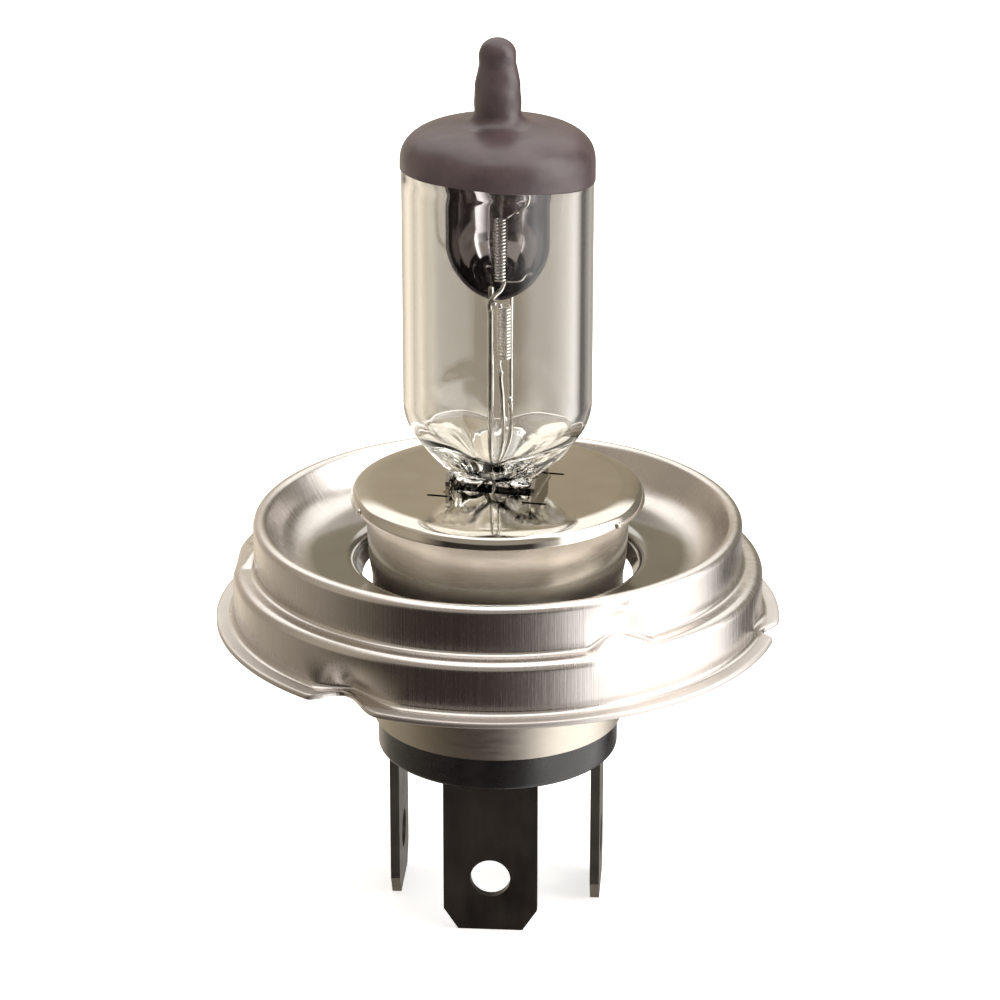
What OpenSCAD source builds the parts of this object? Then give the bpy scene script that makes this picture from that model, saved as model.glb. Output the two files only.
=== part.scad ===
// Twin-filament halogen headlight lamp on a three-lug prefocus ring.
// Origin: centre of the ring's seating flange, on the flange's upper face.
// +Z runs up the lamp axis to the glass tip. -Y is the side of the crosswise blade.

/* [Glass] */
// Outside radius of the glass tube
glass_r = 7.9; // [6.5:0.1:9]
// Wall thickness of the tube
glass_wall = 1.0; // [0.7:0.05:1.4]
// Height where the straight tube ends and the dome starts
dome_z = 39.26; // [36:0.1:42]
// Rise of the dome above that height
dome_rise = 3.2; // [2.5:0.05:4.5]
// Height of the sealed exhaust tip
tip_z = 49.5; // [47:0.1:52]
// Radius of the exhaust tip where it leaves the dome
tip_r = 1.8; // [1.4:0.05:2.2]
// Thickness of the dark antiglare coating
coat_t = 0.12; // [0.08:0.01:0.3]

/* [Filaments] */
// Outside diameter of both coils
coil_d = 1.26; // [1:0.02:1.5]
// Tungsten wire diameter
coil_wire_d = 0.17; // [0.12:0.01:0.22]
// Lower end of the low-beam coil
low_coil_z = 29.1; // [28.4:0.1:29.8]
// Length of the low-beam coil
low_coil_len = 5.6; // [4.8:0.1:6.2]
// Lower end of the high-beam coil
high_coil_z = 22.5; // [22:0.1:23]
// Length of the high-beam coil
high_coil_len = 4.7; // [4:0.1:5.2]

/* [Base] */
// Outside radius of the bulb plate
plate_r = 12.42; // [12:0.02:13]
// Height of the bulb plate's flat top
plate_z = 11.3; // [10.5:0.1:12]
// Outside radius of the cup at its upper part
cup_r = 11.1; // [10.8:0.05:11.5]
// Outside radius of the cup's straight lower sleeve
sleeve_r = 10.68; // [10.4:0.02:10.8]
// Lower edge of the sleeve
sleeve_z = -9.5; // [-11:0.1:-8]
// Lower face of the insulator
insulator_z = -12.5; // [-14:0.1:-11.5]

/* [Prefocus ring] */
// Outside radius of the spigot wall above the flange
spigot_r = 22.5; // [22.3:0.05:22.7]
// Outside radius of the narrower upper wall
upper_r = 20.7; // [20.4:0.05:20.9]
// Outside radius of the seating flange
flange_r = 24.0; // [23.5:0.05:24.2]
// Sheet thickness of the ring
ring_t = 0.5; // [0.4:0.05:0.7]

/* [Terminals] */
// Width of a contact blade
blade_w = 8.0; // [7.8:0.1:8.2]
// Thickness of a contact blade
blade_t = 0.8; // [0.7:0.05:0.9]
// Lower end of the blades
blade_z = -26.1; // [-28:0.1:-24]
// Diameter of the detent hole in a blade
blade_hole_d = 3.4; // [2.8:0.1:3.8]

/* [Hidden] */
$fn = 96;
e = 0.01;                       // overshoot of a cutter past the face it opens

// Glass: the round body necks down to a flat pinch seal
neck_z = 18.7;                  // lower end of the straight tube
neck_arc_r = 4.2;               // shoulder radius of the neck, outside
neck_sweep = 38;                // angle the shoulder turns through before the cone
cone_z = 12.1;                  // lower end of the neck cone
cone_r = 4.2;                   // its radius there
cavity_sweep = 52;              // the same for the gas space, which ends lower and narrower
cavity_z = 12.6;
cavity_r = 0.7;
pinch_w = 6.6;                  // pinch seal, across X
pinch_d = 4.8;                  // pinch seal, across Y
pinch_z = 1.0;                  // its lower end
pinch_top = 12.9;
pinch_turn = -8.7;              // the pinch and its opening sit slightly turned about Z
pinch_groove = 0.9;             // depth of the press grooves in its two broad faces
tip_fillet = 1.2;                // hollow between the dome and the tip
tip_waist = 0.38;               // how much slimmer the tip is near its end
tip_end = 1.3;                  // height of its rounded end
tip_hole_r = 0.55;              // bore left inside the exhaust tip
tip_hole_z = 45.5;

// Current path through the seal: three wires, three foils, three leads
post_d = 0.56;                  // common post
wire_d = 0.42;                  // the two support wires
lead_d = 0.7;                   // outer leads
wire_bend = 0.35;               // length cut back at each bend
wire_sides = 10;
foil_w = 1.7;
foil_t = 0.08;
foil_z = 4.0;
foil_len = 6.0;
foil_lap = 1.0;                 // overlap of each wire and lead with its foil
foil_x = [-2.3, 0, 2.3];        // common, low beam, high beam

// Wire runs, from the foil up to the far end
common_run = [[foil_x[0], 0, foil_z + foil_len - foil_lap], [foil_x[0], 0, 10.4],
              [-0.6, 0, 12.8], [-0.55, 0, 28.6]];
low_run = [[foil_x[1], 0, foil_z + foil_len - foil_lap], [foil_x[1], 0, 10.4],
           [1.0, 1.4, 13.6], [1.0, 1.6, 26.0], [1.0, 5.0, 29.0], [1.0, 5.3, 39.2],
           [2.2, 3.0, 39.6], [2.4, 0.4, 39.0], [2.4, 0.2, 35.8], [1.75, 0.2, 35.25]];
high_run = [[foil_x[2], 0, foil_z + foil_len - foil_lap], [foil_x[2], 0, 10.4],
            [0.6, -0.75, 13.6], [0.3, -0.75, 21.2]];

// Filament coils: axis of each coil, in X and Y
low_axis = [0.2, 0];
high_axis = [0.55, 0];
coil_pitch = 0.29;
coil_steps = 14;                // path points for each turn
coil_sides = 6;                 // sides of the wire in the solid
coil_path_r = (coil_d - coil_wire_d) / 2;

// Dipping shield: half a round trough, closed below by a spoon-shaped end
shield_r = 4.3;
shield_t = 0.25;
shield_side_z = 32.4;           // height where the straight sides end
shield_drop = 4.8;              // depth of the spoon below that
shield_top_z = 38.0;
shield_cut_y = -0.2;            // the trough is open on the -Y side of this plane
foot = [0.8, 0.4, 1.3];         // strip that holds the shield to the common post
foot_at = [-1.0, 0.1, 26.9];

// Coating edge, a slightly tilted plane round the top of the tube
coat_edge_z = 38.25;
coat_tilt = [-4.6, 3.9];        // about X, about Y

// Bulb plate
plate_t = 0.4;
plate_fall_r = 6.5;             // radius of the rim's gentle fall
plate_bend_r = 0.5;             // outside radius of the tight outer bend
plate_skirt_r = 2.5;            // and of the slightly rounded skirt
bend_at = 75;                   // elevation of the surface where the bend starts
skirt_at = 22;                  // where the skirt starts
skirt_end = 6;                  // and at its lower edge
slot_w = pinch_w;               // opening for the pinch, across X
slot_d = 5.0;                   // across Y
relief_x = [3.0, 4.95];         // slits beside the tongues: both ends, across X
relief_y = [-4.05, 3.2];        // and their places across Y
relief_w = 0.4;
tongue_h = 1.6;
tongue_w = 5.7;

plate_weld_angles = [-33, -155, 86];
plate_weld_r = 0.3;
plate_weld_at = 12;             // elevation of the skirt where the welds sit
plate_weld_h = 0.22;

// Cup
cup_t = 0.35;
cup_turn_z = 8.6;               // the wall draws in slightly from here
sleeve_top_z = 3.8;             // and reaches the straight sleeve here
cup_rim_bend = 0.35;
cup_rim_at = 14;                // the cup's rim touches the skirt's inner face here

// Prefocus ring, upper surface of the sheet, from the collar to the flange
collar_z = 0.3;                 // lower edge of the collar on the sleeve
collar_top = 1.4;
throat_r = 12.0;                // hole round the cup
throat_edge_r = 0.9;
floor_z = 5.1;
floor_r = 15.9;                 // the floor starts to rise here
bowl_r = 3.2;                   // hollow radius of the rise
bowl_sweep = 60;
lip_z = 8.5;
lip_round = 0.65;
ledge_z = 4.4;                  // step between the upper wall and the spigot wall
ledge_r = 21.7;
ledge_fillet = 0.4;
lug_angles = [-6, 118, 242.8];
lug_depth = 2.4;                // how far the lower dents press the wall and the flange in
lug_r = 3.7;                    // their radius at the flange
lug_top_r = 1.9;                // and where they run out
lug_top = 4.0;
lug_sink = 0.06;                // the flange inside a dent lies this much below the seat
lug_edge_r = 3.5;               // radius of the dent in the flange's edge
notch_angles = [62, 182, 302];
notch_r = 2.6;                  // round dents across the step
notch_at = [22.2, 5.8];         // their centre: distance from the axis, and height
window_angles = [30, 150, 270];  // openings between the ring's three weld tabs
window_half = 40;               // half the angle each takes up
window_top = 3.0;
window_reach = 15;
ring_weld_angles = [90, 210, 330];
ring_weld_r = 0.6;

// Insulator and blades
insulator_r = sleeve_r - cup_t;
insulator_top = -4.6;
blade_y = -8.85;                // the crosswise blade
blade_x = 8.65;                 // the two side blades
blade_top = -3.0;               // inner tags, where the leads are welded
terminal_weld_r = 0.17;
terminal_weld_x = 0.49;         // from the lead's axis, along the tag
terminal_weld_h = 0.8;
terminal_weld_z = -4.0;
blade_corner = [1.25, 1.9];
blade_hole_z = blade_z + 4.85;
tag_w = 5.0;                    // width of the tag inside the insulator
insulator_edge = 0.4;

// ---- Outline helpers -------------------------------------------------------

// Points of a circular arc from angle a0 to a1
function arc(cx, cy, r, a0, a1, n) =
    [for (i = [0:n]) let (a = a0 + (a1 - a0) * i / n) [cx + r * cos(a), cy + r * sin(a)]];

function polar(r, a) = r * [cos(a), sin(a)];

// Quarter of a rounded dome: flatter than an ellipse at the top and fuller at the side
function dome(r, z, rise, n, a1) =
    [for (i = [0:n]) let (a = a1 * i / n)
        [r * pow(cos(a), 0.59), z + rise * pow(sin(a), 0.79)]];

// Outline of the glass and, with t = coat_t, of the coating over it
function glass_top(t) = concat(
    dome(glass_r + t, dome_z, dome_rise + t, 12, 78),
    arc(tip_r + t + tip_fillet, dome_z + dome_rise + t + tip_fillet, tip_fillet, 250, 180, 4),
    [[tip_r + t, dome_z + dome_rise + 3.0],
     [tip_r + t - 0.20, dome_z + dome_rise + 4.3],
     [tip_r + t - tip_waist, tip_z - 1.8],
     [tip_r + t - tip_waist, tip_z - tip_end]],
    [for (i = [1:5]) let (a = 18 * i)
        [(tip_r + t - tip_waist) * cos(a), tip_z - tip_end + (tip_end + t) * sin(a)]]);

// Round shoulder and cone at the foot of the tube, from the tube inwards
function neck(r, arc_r, sweep, end_r, end_z) = concat(
    arc(r - arc_r, neck_z, arc_r, 0, -sweep, 7), [[end_r, end_z], [0, end_z]]);

function reverse(v) = [for (i = [len(v) - 1:-1:0]) v[i]];

// ---- Wound filaments -------------------------------------------------------

// Path of a coil with its lower leg and its upper leg
function coil_path(axis, z, length, leg_low, leg_high, low_angle) =
    let (turns = round(length / coil_pitch), n = turns * coil_steps)
    concat(leg_low,
        [for (i = [0:n]) let (a = low_angle + 360 * i / coil_steps)
            [axis[0] + coil_path_r * cos(a), axis[1] + coil_path_r * sin(a),
             z + coil_wire_d / 2 + (length - coil_wire_d) * i / n]],
        leg_high);

function unit(v) = v / norm(v);
function path_dir(p, i) = unit(p[min(i + 1, len(p) - 1)] - p[max(i - 1, 0)]);

// Ring of points round one path point, square to the path; side sets where the ring starts
function path_ring(p, i, r, sides, side) =
    let (d = path_dir(p, i), u = unit(cross(d, side)), v = cross(d, u))
    [for (k = [0:sides - 1]) let (a = 360 * k / sides) p[i] + r * (cos(a) * u + sin(a) * v)];

// Round wire along a path; axis is [] for a plain wire, or the axis that a coil winds round
module swept(p, r, s, axis) {
    n = len(p);
    points = [for (i = [0:n - 1])
        each path_ring(p, i, r, s,
            len(axis) == 0 ? [1, 0.25, 0] : [p[i][0] - axis[0], p[i][1] - axis[1], 0.3])];
    sides = [for (i = [0:n - 2]) for (k = [0:s - 1]) each
        [[i * s + k, i * s + (k + 1) % s, (i + 1) * s + (k + 1) % s],
         [i * s + k, (i + 1) * s + (k + 1) % s, (i + 1) * s + k]]];
    caps = [[for (k = [s - 1:-1:0]) k], [for (k = [0:s - 1]) (n - 1) * s + k]];
    polyhedron(points, concat(sides, caps), convexity = 10);
}

// Path with each inner corner cut back to a short bend
function bent(run, d) = [for (i = [0:len(run) - 1]) each
    i == 0 || i == len(run) - 1 ? [run[i]] :
    let (p = run[i], a = p + d * unit(run[i - 1] - p), b = p + d * unit(run[i + 1] - p))
    [a, 0.25 * a + 0.5 * p + 0.25 * b, b]];

module wire(run, r) {
    swept(bent(run, wire_bend), r, wire_sides, []);
}

// Weld beads: low coil to shield, low coil to its wire, high coil to its wire and post
weld_r = 0.29;
low_wire_end = low_run[len(low_run) - 1];
high_wire_end = high_run[len(high_run) - 1];
low_wire_dir = path_dir(low_run, len(low_run) - 1);
weld_at = [[2.66, 0.4, 29.75], low_wire_end + weld_r * low_wire_dir,
           high_wire_end + [0, 0, weld_r], [-0.26, -0.5, 27.4]];

low_path = coil_path(low_axis, low_coil_z, low_coil_len,
    [weld_at[0] + [-0.31, -0.05, -0.08], [1.9, -0.05, low_coil_z + 0.2],
     [1.05, -0.2, low_coil_z + 0.12]],
    [weld_at[1] + (weld_r + e) * low_wire_dir], 0);
high_path = coil_path(high_axis, high_coil_z, high_coil_len,
    [weld_at[2] + [0, 0, weld_r + e], [0.24, -0.68, high_coil_z - 0.3]],
    [weld_at[3] + [weld_r + e, -0.03, -0.03]], 240);

// ---- Shapes shared between a node and the cuts that seat it ----------------

module glass_solid() {
    difference() {
        union() {
            rotate_extrude()
                polygon(concat(reverse(neck(glass_r, neck_arc_r, neck_sweep, cone_r, cone_z)),
                               glass_top(0)));
            rotate([0, 0, pinch_turn])
                translate([-pinch_w / 2, -pinch_d / 2, pinch_z])
                    cube([pinch_w, pinch_d, pinch_top - pinch_z]);
        }
        for (s = [-1, 1])
            rotate([0, 0, pinch_turn])
                translate([-0.5, s * pinch_d / 2, pinch_z - e])
                    cylinder(r = pinch_groove, h = cone_z - 0.4 - pinch_z);
    }
}

module gas_space() {
    r = glass_r - glass_wall;
    rotate_extrude()
        polygon(concat(
            reverse(neck(r, neck_arc_r - glass_wall, cavity_sweep, cavity_r, cavity_z)),
            dome(r, dome_z, dome_rise - glass_wall, 10, 88),
            [[tip_hole_r, dome_z + dome_rise - glass_wall], [tip_hole_r, tip_hole_z],
             [0, tip_hole_z]]));
}

module foil(i) {
    translate([foil_x[i] - foil_w / 2, -foil_t / 2, foil_z])
        cube([foil_w, foil_t, foil_len]);
}

module common_wire() {
    wire(common_run, post_d / 2);
}

module low_wire() {
    wire(low_run, wire_d / 2);
}

module high_wire() {
    wire(high_run, wire_d / 2);
}

// Outer lead i, from its foil down to the inner face of its terminal tag
lead_gap = 0.03;                // braze between a lead and its tag
lead_reach = blade_t / 2 + lead_d / 2 + lead_gap;
lead_foot = [[-blade_x + lead_reach, 0], [0, blade_y + lead_reach], [blade_x - lead_reach, 0]];
module lead(i) {
    wire([[foil_x[i], 0, foil_z + foil_lap], [foil_x[i], 0, 0.2],
          [lead_foot[i][0], lead_foot[i][1], -1.6], [lead_foot[i][0], lead_foot[i][1], -4.1]],
         lead_d / 2);
}

module shield_body() {
    function spoon(r, drop, n) = [for (i = [0:n]) let (a = 90 * i / n)
        [r * pow(sin(a), 1.12), shield_side_z - drop * pow(cos(a), 1.12)]];
    difference() {
        rotate_extrude()
            polygon(concat(spoon(shield_r, shield_drop, 10),
                [[shield_r, shield_top_z], [0, shield_top_z]]));
        rotate_extrude()
            polygon(concat(spoon(shield_r - shield_t, shield_drop - shield_t, 10),
                [[shield_r - shield_t, shield_top_z + 1], [0, shield_top_z + 1]]));
        translate([-10, shield_cut_y - 20, 0])
            cube([20, 20, 60]);
    }
}

// One blade lying in the XZ plane, its inner tag upwards
module blade() {
    w = blade_w / 2;
    c = blade_corner;
    difference() {
        translate([0, blade_t / 2, 0])
            rotate([90, 0, 0])
                linear_extrude(height = blade_t)
                    polygon([[-w + c[0], blade_z], [w - c[0], blade_z], [w, blade_z + c[1]],
                             [w, insulator_z], [tag_w / 2, insulator_z],
                             [tag_w / 2, blade_top], [-tag_w / 2, blade_top],
                             [-tag_w / 2, insulator_z], [-w, insulator_z],
                             [-w, blade_z + c[1]]]);
        translate([0, 0, blade_hole_z])
            rotate([90, 0, 0])
                cylinder(r = blade_hole_d / 2, h = 4, center = true);
    }
}

module side_blade(s) {
    translate([s * blade_x, 0, 0])
        rotate([0, 0, 90])
            blade();
}

module front_blade() {
    translate([0, blade_y, 0])
        blade();
}

// Outline of the ring sheet, sunk d below its upper surface: bowl, lip, walls and flange
function ring_outer(d) = concat(
    arc(floor_r, floor_z + bowl_r, bowl_r + d, -90, bowl_sweep - 90, 6),
    arc(upper_r - lip_round, lip_z - lip_round, lip_round - d, 90 + bowl_sweep, 0, 6),
    arc(upper_r + ledge_fillet, ledge_z + ledge_fillet, ledge_fillet + d, 180, 270, 3),
    arc(ledge_r, ledge_z - spigot_r + ledge_r, spigot_r - ledge_r - d, 90, 0, 4),
    [[spigot_r - d, -d]], d == 0 ? [[flange_r, 0]] : []);

function ring_inner(d) = concat(
    [[sleeve_r + d, collar_z], [sleeve_r + d, collar_top]],
    arc(throat_r + throat_edge_r, floor_z - throat_edge_r, throat_edge_r - d, 180, 90, 4));

// Everything under the ring's upper surface
module ring_envelope() {
    rotate_extrude()
        polygon(concat(ring_inner(0), ring_outer(0), [[flange_r, -ring_t],
                       [sleeve_r + ring_t, -ring_t], [sleeve_r + ring_t, collar_z]]));
}

// The hollow under the sheet
module ring_hollow() {
    rotate_extrude()
        polygon(concat([[sleeve_r + ring_t, -2]], ring_inner(ring_t), ring_outer(ring_t),
                       [[spigot_r - ring_t, -2]]));
}

// Dent tools: cones that deepen towards the flange, and balls across the step
module dent_tools(grow) {
    for (a = lug_angles)
        rotate([0, 0, a])
            translate([spigot_r - lug_depth + lug_r, 0, -lug_sink - grow])
                cylinder(r1 = lug_r + grow, r2 = lug_top_r + grow,
                         h = lug_top + lug_sink + grow);
    for (a = notch_angles)
        rotate([0, 0, a])
            translate([notch_at[0], 0, notch_at[1]])
                sphere(r = notch_r + grow);
}

// Openings in the throat, which leave three tabs to weld to the sleeve
module throat_windows() {
    for (a = window_angles)
        rotate([0, 0, a])
            translate([0, 0, -ring_t - e])
                linear_extrude(height = window_top + ring_t + e)
                    polygon([[0, 0], [window_reach, -window_reach * tan(window_half)],
                             [window_reach, window_reach * tan(window_half)]]);
}

// The flange's edge follows the lower dents
module edge_tools() {
    for (a = lug_angles)
        rotate([0, 0, a])
            translate([flange_r - lug_depth + lug_edge_r, 0, -ring_t - e])
                cylinder(r = lug_edge_r, h = ring_t + 2 * e);
}

// Plate rim: radius where the flat top ends, and the centres of its three arcs
plate_flat_r = plate_r - plate_fall_r * cos(bend_at)
    - plate_bend_r * (cos(skirt_at) - cos(bend_at))
    - plate_skirt_r * (cos(skirt_end) - cos(skirt_at));
fall_centre = [plate_flat_r, plate_z - plate_fall_r];
bend_centre = fall_centre + polar(plate_fall_r - plate_bend_r, bend_at);
skirt_centre = bend_centre + polar(plate_bend_r - plate_skirt_r, skirt_at);

module plate_sheet() {
    function skin(d) = concat(
        arc(skirt_centre[0], skirt_centre[1], plate_skirt_r - d, skirt_end, skirt_at, 4),
        arc(bend_centre[0], bend_centre[1], plate_bend_r - d, skirt_at, bend_at, 4),
        arc(fall_centre[0], fall_centre[1], plate_fall_r - d, bend_at, 90, 3),
        [[0, plate_z - d]]);
    rotate_extrude()
        polygon(concat(skin(0), reverse(skin(plate_t))));
}

module cup_sheet() {
    rim = skirt_centre + polar(plate_skirt_r - plate_t, cup_rim_at);
    function skin(d) = [[sleeve_r - d, sleeve_z], [sleeve_r - d, sleeve_top_z],
        [(sleeve_r + 2 * cup_r) / 3 - d, sleeve_top_z + 1.1], [cup_r - d, cup_turn_z]];
    rotate_extrude()
        polygon(concat(skin(0),
            [[cup_r, rim[1] - cup_t - cup_rim_bend], [cup_r + cup_rim_bend, rim[1] - cup_t],
             [rim[0], rim[1] - cup_t], rim, [cup_r - cup_t, rim[1]]],
            reverse(skin(cup_t))));
}

// ---- Nodes -----------------------------------------------------------------

module glass_envelope() {
    color([0.85, 0.88, 0.85, 0.35])
    difference() {
        glass_solid();
        gas_space();
        for (i = [0:2]) foil(i);
        for (i = [0:2]) lead(i);
        common_wire();
        low_wire();
        high_wire();
    }
}

module antiglare_coating() {
    color([0.36, 0.30, 0.31])
    difference() {
        rotate_extrude()
            polygon(concat([[0, 36]], [[glass_r + coat_t, 36]], glass_top(coat_t)));
        rotate_extrude()
            polygon(concat([[0, 35]], [[glass_r, 35]], glass_top(0)));
        translate([0, 0, coat_edge_z])
            rotate([coat_tilt[0], coat_tilt[1], 0])
                translate([-15, -15, -10])
                    cube([30, 30, 10]);
    }
}

module dipping_shield() {
    color([0.30, 0.29, 0.30])
    difference() {
        union() {
            shield_body();
            translate(foot_at)
                cube(foot);
        }
        common_wire();
    }
}

module low_beam_filament() {
    color([0.55, 0.52, 0.50])
    swept(low_path, coil_wire_d / 2, coil_sides, low_axis);
}

module high_beam_filament() {
    color([0.55, 0.52, 0.50])
    swept(high_path, coil_wire_d / 2, coil_sides, high_axis);
}

module common_support_post() {
    color([0.60, 0.58, 0.55])
    difference() {
        common_wire();
        foil(0);
    }
}

module low_beam_support_wire() {
    color([0.60, 0.58, 0.55])
    difference() {
        low_wire();
        foil(1);
    }
}

module high_beam_support_wire() {
    color([0.60, 0.58, 0.55])
    difference() {
        high_wire();
        foil(2);
    }
}

module filament_welds() {
    color([0.72, 0.70, 0.66])
    for (p = weld_at) translate(p) sphere(r = weld_r);
}

module common_foil() {
    color([0.62, 0.60, 0.58])
    foil(0);
}

module low_beam_foil() {
    color([0.62, 0.60, 0.58])
    foil(1);
}

module high_beam_foil() {
    color([0.62, 0.60, 0.58])
    foil(2);
}

module earth_lead() {
    color([0.70, 0.68, 0.64])
    difference() {
        lead(0);
        foil(0);
    }
}

module low_beam_lead() {
    color([0.70, 0.68, 0.64])
    difference() {
        lead(1);
        foil(1);
    }
}

module high_beam_lead() {
    color([0.70, 0.68, 0.64])
    difference() {
        lead(2);
        foil(2);
    }
}

module bulb_plate() {
    color([0.62, 0.57, 0.48])
    union() {
        difference() {
            plate_sheet();
            rotate([0, 0, pinch_turn])
                translate([-slot_w / 2, -slot_d / 2, plate_z - 2])
                    cube([slot_w, slot_d, 4]);
            for (side = [-1, 1], y = relief_y)
                rotate([0, 0, pinch_turn])
                    translate([side * (relief_x[0] + relief_x[1]) / 2, y, plate_z])
                        cube([relief_x[1] - relief_x[0], relief_w, 4], center = true);
        }
        for (turn = [0, 180])
            rotate([0, 0, pinch_turn + turn])
                translate([slot_w / 2, -tongue_w / 2, plate_z - plate_t])
                    cube([plate_t, tongue_w, plate_t + tongue_h]);
    }
}

module plate_welds() {
    spot = skirt_centre + polar(plate_skirt_r, plate_weld_at);
    color([0.66, 0.62, 0.56])
    for (a = plate_weld_angles)
        rotate([0, 0, a])
            translate([spot[0], 0, spot[1]])
                rotate([0, 90 - plate_weld_at, 0])
                    rotate_extrude()
                        polygon([[0, 0], [plate_weld_r, 0], [plate_weld_r * 0.9, plate_weld_h * 0.5],
                                 [plate_weld_r * 0.5, plate_weld_h], [0, plate_weld_h]]);
}

module base_shell() {
    color([0.66, 0.60, 0.54])
    cup_sheet();
}

module prefocus_ring() {
    color([0.60, 0.56, 0.53])
    difference() {
        ring_envelope();
        dent_tools(0);
        edge_tools();
        throat_windows();
        difference() {
            ring_hollow();
            dent_tools(ring_t);
        }
    }
}

module ring_welds() {
    color([0.58, 0.55, 0.52])
    difference() {
        for (a = ring_weld_angles)
            rotate([0, 0, a])
                translate([sleeve_r + ring_t / 2, 0, collar_z])
                    sphere(r = ring_weld_r);
        rotate_extrude()
            polygon([[0, -2], [sleeve_r, -2], [sleeve_r, collar_z], [sleeve_r + ring_t, collar_z],
                     [sleeve_r + ring_t, 2], [0, 2]]);
    }
}

module base_insulator() {
    color([0.09, 0.08, 0.08])
    difference() {
        rotate_extrude()
            polygon(concat([[0, insulator_z]],
                arc(insulator_r - insulator_edge, insulator_z + insulator_edge,
                    insulator_edge, -90, 0, 4),
                [[insulator_r, insulator_top], [0, insulator_top]]));
        front_blade();
        side_blade(-1);
        side_blade(1);
    }
}

module earth_terminal() {
    color([0.42, 0.39, 0.34])
    side_blade(-1);
}

module low_beam_terminal() {
    color([0.16, 0.14, 0.12])
    front_blade();
}

module high_beam_terminal() {
    color([0.42, 0.39, 0.34])
    side_blade(1);
}

module terminal_welds() {
    // Two braze fillets, one on each side of the lead, against the tag
    module pair(i, turn) {
        translate([lead_foot[i][0], lead_foot[i][1], terminal_weld_z])
            rotate([0, 0, turn])
                for (s = [-1, 1])
                    translate([s * terminal_weld_x, lead_d / 2 + lead_gap - terminal_weld_r, 0])
                        cylinder(r = terminal_weld_r, h = terminal_weld_h);
    }
    color([0.70, 0.68, 0.64])
    union() {
        pair(0, 90);
        pair(1, 180);
        pair(2, -90);
    }
}

glass_envelope();
antiglare_coating();
dipping_shield();
low_beam_filament();
high_beam_filament();
common_support_post();
low_beam_support_wire();
high_beam_support_wire();
filament_welds();
common_foil();
low_beam_foil();
high_beam_foil();
earth_lead();
low_beam_lead();
high_beam_lead();
bulb_plate();
plate_welds();
base_shell();
prefocus_ring();
ring_welds();
base_insulator();
earth_terminal();
low_beam_terminal();
high_beam_terminal();
terminal_welds();
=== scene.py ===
import math
import bpy
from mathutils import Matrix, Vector, noise


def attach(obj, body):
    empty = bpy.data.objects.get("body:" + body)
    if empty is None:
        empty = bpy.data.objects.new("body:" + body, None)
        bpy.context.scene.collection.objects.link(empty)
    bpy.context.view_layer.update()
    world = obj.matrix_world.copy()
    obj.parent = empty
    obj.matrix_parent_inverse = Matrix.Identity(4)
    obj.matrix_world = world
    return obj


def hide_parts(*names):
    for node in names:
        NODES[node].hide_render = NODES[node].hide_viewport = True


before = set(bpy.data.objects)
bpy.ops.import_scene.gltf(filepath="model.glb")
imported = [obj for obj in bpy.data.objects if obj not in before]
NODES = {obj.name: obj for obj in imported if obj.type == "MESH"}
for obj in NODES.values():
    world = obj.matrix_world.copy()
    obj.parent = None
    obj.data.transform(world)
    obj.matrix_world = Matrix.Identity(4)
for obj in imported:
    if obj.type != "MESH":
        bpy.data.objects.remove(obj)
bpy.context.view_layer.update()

MM = 0.001

# ---- Sizes in millimetres, in the row frame (origin on the flange's upper face) ----

GLASS_R = 7.9
GLASS_WALL = 1.0
DOME_Z = 39.26                       # the straight tube ends here and the dome starts
DOME_RISE = 3.2
TIP_FILLET = 1.2
TIP_R = 1.8
TIP_Z = 49.5
COAT_T = 0.12
SHIELD_R = 4.3
SHIELD_T = 0.25
SHIELD_TOP = 38.0
SHIELD_SIDE = 32.4                   # the straight sides end here and the spoon starts
SHIELD_DROP = 4.8
SLEEVE_R = 10.68
CUP_R = 11.1
PLATE_Z = 11.3
RING_T = 0.5
FLANGE_R = 24.0

CAP_ANGLES = (0.45, 0.9, 1.3)        # where the rings of a tube's rounded end lie, in radians


# ---- Mesh helpers ------------------------------------------------------------------

def arc(cx, cy, r, a0, a1, n):
    """Points of a circular arc, angles in degrees."""
    return [(cx + r * math.cos(math.radians(a0 + (a1 - a0) * i / n)),
             cy + r * math.sin(math.radians(a0 + (a1 - a0) * i / n))) for i in range(n + 1)]


def refine(profile, step):
    """The same outline with no span longer than step."""
    out = [profile[0]]
    for p, q in zip(profile, profile[1:]):
        n = max(1, math.ceil(math.dist(p, q) / step))
        out += [(p[0] + (q[0] - p[0]) * i / n, p[1] + (q[1] - p[1]) * i / n)
                for i in range(1, n + 1)]
    return out


def offset(profile, d):
    """The outline moved d to the right of its direction of travel."""
    out = []
    for i, p in enumerate(profile):
        a = profile[max(i - 1, 0)]
        b = profile[min(i + 1, len(profile) - 1)]
        length = math.dist(a, b) or 1.0
        out.append((p[0] + d * (b[1] - a[1]) / length, p[1] - d * (b[0] - a[0]) / length))
    return out


def smoothstep(a, b, x):
    """0 at a, 1 at b, level at both ends and beyond them."""
    t = min(max((x - a) / (b - a), 0.0), 1.0)
    return t * t * (3 - 2 * t)


def make_object(name, verts, faces, smooth=True, angle=40):
    """Mesh object from points in millimetres, shaded smooth up to the given edge angle."""
    mesh = bpy.data.meshes.new(name)
    mesh.from_pydata([(x * MM, y * MM, z * MM) for x, y, z in verts], [], faces)
    mesh.validate()
    obj = bpy.data.objects.new(name, mesh)
    bpy.context.scene.collection.objects.link(obj)
    if smooth:
        shade(obj, angle)
    return obj


def shade(obj, angle):
    """Shades obj smooth, except at edges sharper than the angle in degrees."""
    bpy.context.view_layer.objects.active = obj
    for o in bpy.context.selected_objects:
        o.select_set(False)
    obj.select_set(True)
    bpy.ops.object.shade_smooth_by_angle(angle=math.radians(angle))
    obj.select_set(False)


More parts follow.
